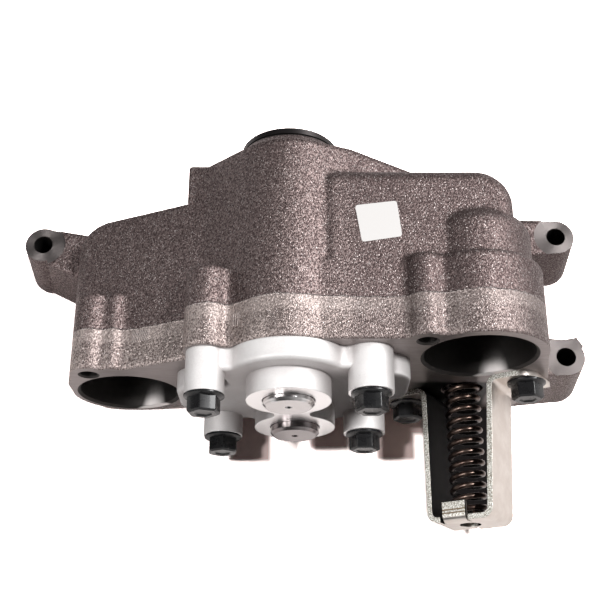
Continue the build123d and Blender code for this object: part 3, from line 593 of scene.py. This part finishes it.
def groundSteel(name, axes, dark, light, rough):
    # turned rings round the nearest axis, ground lines along it
    look = steelLook
    finish = newFinish(name)
    nearest = 1.0
    for axis in axes:
        nearest = finish.fromAxisY(axis).least(nearest)
    marks = (nearest * look["ringPitch"]).waves()
    haze = finish.noise(look["hazeScale"], stretch=look["hazeStretch"])
    tone = weighted(look["toneShares"], marks=marks, haze=haze).above(*look["toneEdge"])
    colour = finish.mixColour(tone, look[dark], look[light])
    # darker at the idler's height and below, fading out below the drive axis
    lower = finish.z.below(idlerAxis.z + look["darkLowFade"], driveAxis.z - look["darkLowFade"])
    colour = finish.mixColour(lower * look["darkLowShare"], colour, look["darkLow"])
    height = weighted(look["heights"], marks=marks, haze=haze)
    normal = finish.bump(height, look["depth"], look["bump"], finish.softEdges(look["edge"], samples=4))
    roughness = rough + haze * look["roughHaze"]
    return finish.surface(colour=colour, metallic=1.0, roughness=roughness, normal=normal)


boltLook = {
    "oxide": (0.010, 0.010, 0.011),
    "worn": (0.05, 0.048, 0.048),
    "hazeScale": 260.0,
    "scratchScale": 900.0,
    "scratchStretch": (1.0, 0.1, 1.0),
    "scratchEdge": (0.62, 0.74),
    "wornShares": {"scratch": 0.3, "haze": 0.1},
    "rough": 0.22,
    "roughHaze": 0.12,
    "depth": 0.0001,
    "bump": 0.25,
    "polish": {"metallic": 0.0, "specular": 0.25, "coat": 0.25, "coatRoughness": 0.08},
}


def blackOxide():
    look = boltLook
    finish = newFinish("boltBlack")
    haze = finish.noise(look["hazeScale"])
    scratch = finish.noise(look["scratchScale"], detail=2.0, roughness=0.5, stretch=look["scratchStretch"])
    worn = weighted(look["wornShares"], scratch=scratch.above(*look["scratchEdge"]), haze=haze)
    colour = finish.mixColour(worn, look["oxide"], look["worn"])
    roughness = look["rough"] + haze * look["roughHaze"]
    normal = finish.bump(haze, look["depth"], look["bump"])
    return finish.surface(colour=colour, roughness=roughness, normal=normal, **look["polish"])


zincLook = {
    "plate": (0.76, 0.71, 0.66),
    "cloud": (0.66, 0.60, 0.55),
    "sheared": (0.30, 0.27, 0.22),
    "torn": (0.90, 0.89, 0.84),
    "inside": (0.008, 0.007, 0.007),  # painted shade on the legs' faces towards the spring
    "crease": (0.20, 0.14, 0.085),  # two dark lines across the front tab, at its bends
    "creases": (0.0735, 0.0753),  # how far they lie in front of the face
    "creaseEdge": (0.0002, 0.0005),
    "creaseEnds": (-0.0205, 0.001),  # from the valve's axis
    "creaseFade": 0.001,
    "cloudScale": 90.0,
    "cloudEdge": (0.35, 0.7),
    "speckScale": 1500.0,
    "speckEdge": (0.42, 0.60),
    "inward": (-0.004, -0.002),  # the normal along X times the distance from the valve's axis
    "legs": (0.0235, 0.0250),  # the legs end here, from that axis
    "metal": 0.92,
    "rough": 0.26,
    "roughCloud": 0.12,
    "roughEdge": 0.35,
    "roughSpeck": 0.25,
    "roughInside": 0.4,
    "heights": {"cloud": 0.10, "specks": 0.9},
    "depth": 0.0003,
    "bump": 0.5,
    "round": 0.0005,
}


def bracketZinc(across):
    # across points out of the strap's sheared edges
    look = zincLook
    finish = newFinish("bracketZinc")
    nx, ny, nz = finish.normal()
    edge = abs(nx * across.x + ny * across.y + nz * across.z).facing()
    aside = finish.x - reliefAxis.x
    cloud = finish.noise(look["cloudScale"], detail=4.0, roughness=0.65)
    speck = finish.noise(look["speckScale"], roughness=0.7)
    plate = finish.mixColour(cloud.above(*look["cloudEdge"]), look["cloud"], look["plate"])
    torn = finish.mixColour(speck.above(*look["speckEdge"]), look["sheared"], look["torn"])
    crease = 0
    for out in look["creases"]:
        crease = abs(finish.y - faceY + out).below(*look["creaseEdge"]).most(crease)
    crease = crease * edge * aside.between(*look["creaseEnds"], look["creaseFade"])
    torn = finish.mixColour(crease, torn, look["crease"])
    # painted shade on the legs' faces towards the spring
    inward = (nx * aside).below(*look["inward"]) * (1 - edge) * abs(aside).below(*look["legs"])
    colour = finish.mixColour(inward, finish.mixColour(edge, plate, torn), look["inside"])
    plateRough = look["rough"] + cloud * look["roughCloud"]
    edgeRough = look["roughEdge"] + speck * look["roughSpeck"]
    roughness = blend(edge, plateRough, edgeRough) + inward * look["roughInside"]
    height = weighted(look["heights"], cloud=cloud, specks=speck * edge)
    normal = finish.bump(height, look["depth"], look["bump"], finish.softEdges(look["round"]))
    return finish.surface(colour=colour, metallic=look["metal"], roughness=roughness, normal=normal)


springLook = {
    "wire": (0.085, 0.056, 0.046),
    "sheen": (0.34, 0.25, 0.205),
    "oily": (0.012, 0.009, 0.008),  # painted shade on its lower half, towards the floor
    "oilyEdge": (-0.002, 0.001),  # from the valve's axis
    "hazeScale": 240.0,
    "sheenEdge": (0.4, 0.75),
    "sheenShare": 0.6,
    "metal": 0.9,
    "rough": 0.24,
    "roughGained": {"haze": 0.14, "oily": 0.3},
    "depth": 0.0001,
    "bump": 0.2,
}


def springSteel():
    look = springLook
    finish = newFinish("springSteel")
    haze = finish.noise(look["hazeScale"])
    sheen = haze.above(*look["sheenEdge"]) * look["sheenShare"]
    colour = finish.mixColour(sheen, look["wire"], look["sheen"])
    # painted shade on the coils' lower half
    oily = (finish.z - reliefAxis.z).below(*look["oilyEdge"])
    colour = finish.mixColour(oily, colour, look["oily"])
    roughness = look["rough"] + weighted(look["roughGained"], haze=haze, oily=oily)
    normal = finish.bump(haze, look["depth"], look["bump"])
    return finish.surface(colour=colour, metallic=look["metal"], roughness=roughness, normal=normal)


print("materials ready")

# ---- the CAD nodes that stay get their finishes


def paint(names, material):
    for name in names:
        node = frame["nodes"][name]
        node.data.materials.clear()
        node.data.materials.append(material)


boltBoxes = {name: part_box(name) for name in frame["nodes"] if "_bolt_" in name}


def strapAcross():
    # out of the relief bracket's upper edges: square to the line between its two bolts
    left, right = [sum(boltBoxes["bracket_bolt_" + side], Vector()) / 2 for side in ("left", "right")]
    across = (right - left).normalized().cross(Vector((0, 1, 0)))
    return across if across.z > 0 else -across


def namesWith(word):
    return [name for name in frame["nodes"] if word in name]


gearNames = [name for name in namesWith("gear") if name != "gear_cover"]
shaftAxes = (driveAxis, idlerAxis)
shafts = groundSteel("groundSteel", shaftAxes, "groundDark", "ground", rough=0.14)
valveSteel = groundSteel("valveSteel", (reliefAxis,), "groundDark", "ground", rough=0.2)
gearSteel = groundSteel("gearSteel", shaftAxes, "gear", "groundDark", rough=0.3)
bronze = groundSteel("bushingBronze", shaftAxes, "bronze", "bronze", rough=0.3)
paint(["pump_body"], castIron())
paint(["gear_cover"], coverAluminium())
paint(["drive_shaft", "idler_shaft"], shafts)
paint(["relief_plunger"], valveSteel)
paint(gearNames + namesWith("dowel"), gearSteel)
paint(namesWith("bushing"), bronze)
paint(["relief_bracket"], bracketZinc(strapAcross()))
print("finishes on the frame's nodes")

# ---- mesh helpers


def linked(name, data):
    # a new object in the scene
    made = bpy.data.objects.new(name, data)
    bpy.context.scene.collection.objects.link(made)
    return made


def meshObject(name, mesh, material):
    data = bpy.data.meshes.new(name)
    mesh.to_mesh(data)
    mesh.free()
    data.materials.append(material)
    return linked(name, data)


def edgesOf(verts):
    return list({edge for vert in verts for edge in vert.link_edges})


def closeRing(mesh, edges):
    bmesh.ops.holes_fill(mesh, edges=edges, sides=0)


def ringUp(mesh, edges, grow, rise):
    # pulls a ring of edges up by rise and scales it by grow about the axis
    made = bmesh.ops.extrude_edge_only(mesh, edges=edges)["geom"]
    verts = [item for item in made if isinstance(item, bmesh.types.BMVert)]
    bmesh.ops.translate(mesh, verts=verts, vec=(0, 0, rise))
    bmesh.ops.scale(mesh, verts=verts, vec=(grow, grow, 1))
    return [item for item in made if isinstance(item, bmesh.types.BMEdge)]


def turned(mesh, profile, segments):
    # a closed solid about Z, from the radius and the height of each ring
    radius, height = profile[0]
    edges = edgesOf(bmesh.ops.create_circle(mesh, segments=segments, radius=radius)["verts"])
    closeRing(mesh, edges)
    for nextRadius, nextHeight in profile[1:]:
        edges = ringUp(mesh, edges, nextRadius / radius, nextHeight - height)
        radius, height = nextRadius, nextHeight
    closeRing(mesh, edges)


# ---- flange bolts

boltShape = {
    "shank": 0.00495,
    "point": 0.001,  # bevel at the shank's end
    "flange": 0.0109,
    "flangeEdge": 0.0014,
    "flangeTop": 0.0026,
    "rim": 0.0003,  # bevel round the flange
    "rimTop": 0.0004,  # how far its upper bevel goes inwards
    "neck": 0.0078,  # where the flange's slope ends, inside the head
    "flats": 0.016,
    "head": 0.0104,
    "cornerRound": 0.0006,
    "chamfer": 0.0009,
    "crown": 0.985,  # radius of the head's top, in half widths across the flats
    "dish": 0.0052,
    "dishFloor": 0.82,  # of the dish's radius
    "dishDepth": 0.0007,
    "segments": 48,
    "sharpFrom": 24,  # degrees
}
# how far each head is turned, in degrees
boltTurns = {
    "cover_bolt_upper_left": 70,
    "cover_bolt_lower_left": 55,
    "cover_bolt_upper_right": 30,
    "cover_bolt_lower_right": 32,
    "bracket_bolt_left": 45,
    "bracket_bolt_right": 45,
}


def hexHead(mesh, foot, top):
    # six walls with rounded corners, a chamfer and a shallow dish
    shape = boltShape
    wallTop = top - shape["chamfer"]
    corner = shape["flats"] / 2 / math.cos(math.pi / 6)
    crown = shape["flats"] / 2 * shape["crown"]
    hexagon = bmesh.ops.create_circle(mesh, segments=6, radius=corner)["verts"]
    bmesh.ops.translate(mesh, verts=hexagon, vec=(0, 0, foot))
    edges = edgesOf(hexagon)
    closeRing(mesh, edges)
    edges = ringUp(mesh, edges, 1, wallTop - foot)
    corners = {vert for edge in edges for vert in edge.verts}
    upright = [edge for edge in edgesOf(corners) if not corners.issuperset(edge.verts)]
    bmesh.ops.bevel(
        mesh, geom=upright, offset=shape["cornerRound"], segments=3, profile=0.5, affect="EDGES", material=-1
    )
    rim = [vert for vert in mesh.verts if math.isclose(vert.co.z, wallTop, abs_tol=1e-6)]
    edges = [edge for edge in edgesOf(rim) if edge.is_boundary]
    edges = ringUp(mesh, edges, crown / corner, shape["chamfer"])
    edges = ringUp(mesh, edges, shape["dish"] / crown, 0)
    edges = ringUp(mesh, edges, shape["dishFloor"], -shape["dishDepth"])
    closeRing(mesh, edges)


def flangeBolt(name, material):
    # made about Z with its head upwards, then laid along Y
    shape = boltShape
    low, high = boltBoxes[name]
    centre = (low + high) / 2
    seat = high.y - low.y - shape["head"]
    flange = shape["flange"]
    profile = (
        (shape["shank"] - shape["point"], 0),
        (shape["shank"], shape["point"]),
        (shape["shank"], seat),
        (flange - shape["rim"], seat),
        (flange, seat + shape["rim"]),
        (flange, seat + shape["flangeEdge"] - shape["rim"]),
        (flange - shape["rimTop"], seat + shape["flangeEdge"]),
        (shape["neck"], seat + shape["flangeTop"]),
    )
    mesh = bmesh.new()
    turned(mesh, profile, shape["segments"])
    hexHead(mesh, seat + shape["flangeEdge"], seat + shape["head"])
    bmesh.ops.recalc_face_normals(mesh, faces=mesh.faces)
    turn = math.radians(boltTurns[name])
    place = Matrix.Translation((centre.x, high.y, centre.z)) @ Matrix.Rotation(math.pi / 2, 4, "X")
    bmesh.ops.transform(mesh, matrix=place @ Matrix.Rotation(turn, 4, "Z"), verts=mesh.verts)
    bolt = meshObject(name + "_finished", mesh, material)
    bolt.data.shade_smooth()
    bolt.data.set_sharp_from_angle(angle=math.radians(shape["sharpFrom"]))
    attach(bolt, "housing")
    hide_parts(name)


oxide = blackOxide()
for name in boltBoxes:
    flangeBolt(name, oxide)
print("bolts:", len(boltBoxes))

# ---- relief spring, with closed end coils

springShape = {
    "wire": 0.0016,
    "pitch": 0.0066,
    "closedTurns": 1,
    "closedPitch": 2.05,  # in wire radii: 2 would touch
    "stepsPerTurn": 36,
    "sides": 14,
}


def reliefSpring(material):
    shape = springShape
    low, high = springBox
    centre = (low + high) / 2
    wire = shape["wire"]
    coil = (high.x - low.x) / 2 - wire
    # the end coils lie almost touching, the middle ones share the rest
    closedTurns = shape["closedTurns"]
    closedPitch = wire * shape["closedPitch"]
    openLength = high.y - low.y - 2 * wire - 2 * closedTurns * closedPitch
    openTurns = round(openLength / shape["pitch"])
    # the wire's first ring stands above the axis, and so does the last ring of each stage
    place = Vector((centre.x, low.y + wire, centre.z + coil))
    upright = Matrix.Rotation(math.pi / 2, 4, "Y") @ Matrix.Rotation(math.pi / 2, 4, "Z")
    start = Matrix.Translation(place) @ upright
    mesh = bmesh.new()
    verts = bmesh.ops.create_circle(mesh, segments=shape["sides"], radius=wire, matrix=start)["verts"]
    edges = edgesOf(verts)
    closeRing(mesh, edges)
    ends = (closedTurns, closedPitch)
    lastSlope = 0
    for turns, pitch in (ends, (openTurns, openLength / openTurns), ends):
        # the ring turns square to the coil's slope before it is spun
        slope = math.atan2(pitch, 2 * math.pi * coil)
        verts = list({vert for edge in edges for vert in edge.verts})
        bmesh.ops.rotate(mesh, verts=verts, cent=place, matrix=Matrix.Rotation(slope - lastSlope, 3, "Z"))
        spun = bmesh.ops.spin(
            mesh,
            geom=edges,
            cent=centre,
            axis=(0, 1, 0),
            dvec=(0, pitch / shape["stepsPerTurn"], 0),
            angle=2 * math.pi * turns,
            steps=turns * shape["stepsPerTurn"],
        )
        edges = [item for item in spun["geom_last"] if isinstance(item, bmesh.types.BMEdge)]
        place.y += pitch * turns
        lastSlope = slope
    closeRing(mesh, edges)
    bmesh.ops.recalc_face_normals(mesh, faces=mesh.faces)
    spring = meshObject("relief_spring_wound", mesh, material)
    spring.data.shade_smooth()
    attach(spring, "relief_valve")
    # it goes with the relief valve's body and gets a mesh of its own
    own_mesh(spring)
    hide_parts("relief_spring")


reliefSpring(springSteel())
print("relief spring made")

# ---- bare sticker on the block's top

# in millimetres from the drive axis and the front face
stickerShape = {
    "corners": ((36.3, 78.6), (59.3, 81.5), (61.6, 59.6), (39.7, 56.1)),
    "top": 122.4,
    "round": 1.6,
    "thickness": 0.12,
    "paper": (0.80, 0.775, 0.76),
    "grainScale": 400.0,
    "rough": 0.42,
    "roughGrain": 0.1,
    "specular": 0.4,
}


def sticker():
    shape = stickerShape
    finish = newFinish("sticker")
    grain = finish.noise(shape["grainScale"], detail=2.0, roughness=0.5)
    roughness = shape["rough"] + grain * shape["roughGrain"]
    paper = finish.surface(colour=shape["paper"], roughness=roughness, specular=shape["specular"])
    mesh = bmesh.new()
    verts = []
    for x, y in shape["corners"]:
        verts.append(mesh.verts.new((x / 1000 + driveAxis.x, y / 1000 + faceY, shape["top"] / 1000)))
    mesh.faces.new(verts)
    radius = shape["round"] / 1000
    bmesh.ops.bevel(mesh, geom=verts, offset=radius, segments=5, profile=0.5, affect="VERTICES", material=-1)
    made = bmesh.ops.extrude_face_region(mesh, geom=mesh.faces[:])["geom"]
    raised = [item for item in made if isinstance(item, bmesh.types.BMVert)]
    bmesh.ops.translate(mesh, verts=raised, vec=(0, 0, shape["thickness"] / 1000))
    bmesh.ops.recalc_face_normals(mesh, faces=mesh.faces)
    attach(meshObject("sticker", mesh, paper), "housing")


sticker()
print("sticker made")

# ---- floor

floorLook = {
    "table": (0.16, 0.15, 0.15),  # what lights the object from below
    "paper": (4.2, 3.8, 3.7),  # so pale that either lamp by itself turns it white
    "corner": (1.0, 0.78, 0.74),  # painted shade: a darker colour where the cover and its bolts hide both lamps
    "mirrored": (1.0, 0.94, 0.92),  # the same as metal shows it
    "white": (1.0, 1.0, 1.0),
    "pool": (0.014, 0.012, 0.012),  # painted shadow under the relief bracket, a dark patch that ignores the lamps
    # the corners, from the drive axis and the face: left, right, front
    "corners": (
        (-0.039, -0.010, -0.035),
        (0.010, 0.038, -0.027),
        (0.051, 0.079, -0.034),
        (-0.047, 0.087, -0.018),
    ),
    "cornerFade": 0.004,
    "cornerRear": (0.02, 0.04),
    "poolSides": (-0.0215, 0.028),  # from the valve's axis
    "poolFade": 0.005,
    "poolFront": (0.008, 0.014),  # from the spring's front end
    "poolRear": (0.030, 0.040),  # from the face
    "whiteFrom": (0.30, 0.42),  # the object's shadows fall inside this distance
    "size": 3.0,
    "drop": 0.0002,  # below the feet
}


def shelteredCorners(finish, depth):
    # painted shade: the floor colour is lowered in these corners, deepening the shadows there
    look = floorLook
    fade = look["cornerFade"]
    aside = finish.x - driveAxis.x
    corners = 0
    for left, right, front in look["corners"]:
        corners = (aside.between(left, right, fade) * depth.above(front, front + fade)).most(corners)
    return corners * depth.below(*look["cornerRear"])


def darkPool(finish, depth):
    # painted shadow: a dark patch on the floor under the relief bracket
    look = floorLook
    low, high = look["poolFront"]
    wide = (finish.x - reliefAxis.x).between(*look["poolSides"], look["poolFade"])
    return wide * finish.y.above(springBox[0].y + low, springBox[0].y + high) * depth.below(*look["poolRear"])


def floorPaper():
    look = floorLook
    finish = newFinish("floor")
    rays = ("Is Camera Ray", "Is Glossy Ray", "Is Transmission Ray")
    camera, glossy, glass = finish.node("ShaderNodeLightPath", outputs=rays)
    depth = finish.y - faceY
    table = finish.shade(look["table"], roughness=1.0, specular=0.0)
    white = finish.glow(look["white"])
    paper = finish.diffuse(finish.mixColour(shelteredCorners(finish, depth), look["paper"], look["corner"]))
    # shadows near the object, plain white further out
    away = finish.reach(finish.x, finish.y).above(*look["whiteFrom"])
    # painted shadow under the relief bracket
    pooled = finish.either(darkPool(finish, depth), paper, finish.glow(look["pool"]))
    seen = finish.either(away, pooled, white)
    mirrored = finish.either(away, finish.diffuse(look["mirrored"]), white)
    unseen = finish.either(glossy.most(glass), table, mirrored)
    sheet = finish.finishWith(finish.either(camera, unseen, seen))
    sheet.cycles.emission_sampling = "NONE"
    return sheet


def floor():
    mesh = bmesh.new()
    bmesh.ops.create_grid(mesh, x_segments=1, y_segments=1, size=floorLook["size"])
    plane = meshObject("floor", mesh, floorPaper())
    plane.location.z = -floorLook["drop"]


floor()

# ---- light, room, camera

lampLook = {"middle": (0.0, 0.0, 0.06), "distance": 1.4}
lamps = {
    "keyRight": {"aim": (0.58, 0.05, 1.0), "size": 0.13, "power": 15.5},
    "keyLeft": {"aim": (-0.554, -0.15, 1.0), "size": 0.12, "power": 8},
    # these two show in reflections only
    "sheenRight": {"aim": (0.653, 0.34, 0.675), "size": 0.45, "power": 11, "reflectedOnly": True},
    "sheenLeft": {"aim": (-0.75, -0.35, 0.65), "size": 0.35, "power": 4, "reflectedOnly": True},
}
for name, lamp in lamps.items():
    data = bpy.data.lights.new(name, "AREA")
    data.size = lamp["size"]
    data.energy = lamp["power"]
    away = Vector(lamp["aim"]).normalized()
    made = linked(name, data)
    made.location = Vector(lampLook["middle"]) + away * lampLook["distance"]
    made.visible_diffuse = not lamp.get("reflectedOnly", False)
    made.rotation_mode = "QUATERNION"
    made.rotation_quaternion = (-away).to_track_quat("-Z", "Y")

# white near the horizon and dim overhead for reflections, wholly white behind the object
roomLook = {
    "fill": 0.045,
    "overhead": 0.03,
    "horizon": 0.6,
    "fade": (-0.06, 0.50),  # the sines of the heights where the horizon starts and ends to dim
    "lean": 0.50,  # how much further it stays bright towards the right
}


def room():
    look = roomLook
    finish = Finish(bpy.data.worlds.new("studio"), "Generated")
    rays = ("Is Camera Ray", "Is Glossy Ray", "Is Transmission Ray")
    camera, glossy, glass = finish.node("ShaderNodeLightPath", outputs=rays)
    height = (finish.z - finish.x * look["lean"]).above(*look["fade"])
    ring = finish.backdrop(blend(height, look["horizon"], look["overhead"]))
    lit = finish.either(glossy, finish.backdrop(look["fill"]), ring)
    shown = finish.either(camera.most(glass), lit, finish.backdrop(1.0))
    return finish.finishWith(shown, "ShaderNodeOutputWorld")


world = room()
world.cycles.sampling_method = "NONE"
bpy.context.scene.world = world
bpy.context.scene.view_settings.view_transform = "Standard"

cameraLook = {
    "place": (0.0, -0.2279, 0.62604),
    "tilt": 23.526,  # degrees
    "lens": 62.46,
    "sensor": 36,
    "clip": (0.01, 20),
}
lens = bpy.data.cameras.new("camera")
lens.lens = cameraLook["lens"]
lens.sensor_width = cameraLook["sensor"]
lens.clip_start, lens.clip_end = cameraLook["clip"]
camera = linked("camera", lens)
camera.location = cameraLook["place"]
camera.rotation_euler = (math.radians(cameraLook["tilt"]), 0, 0)
bpy.context.scene.camera = camera
print("floor, lamps, room and camera ready")
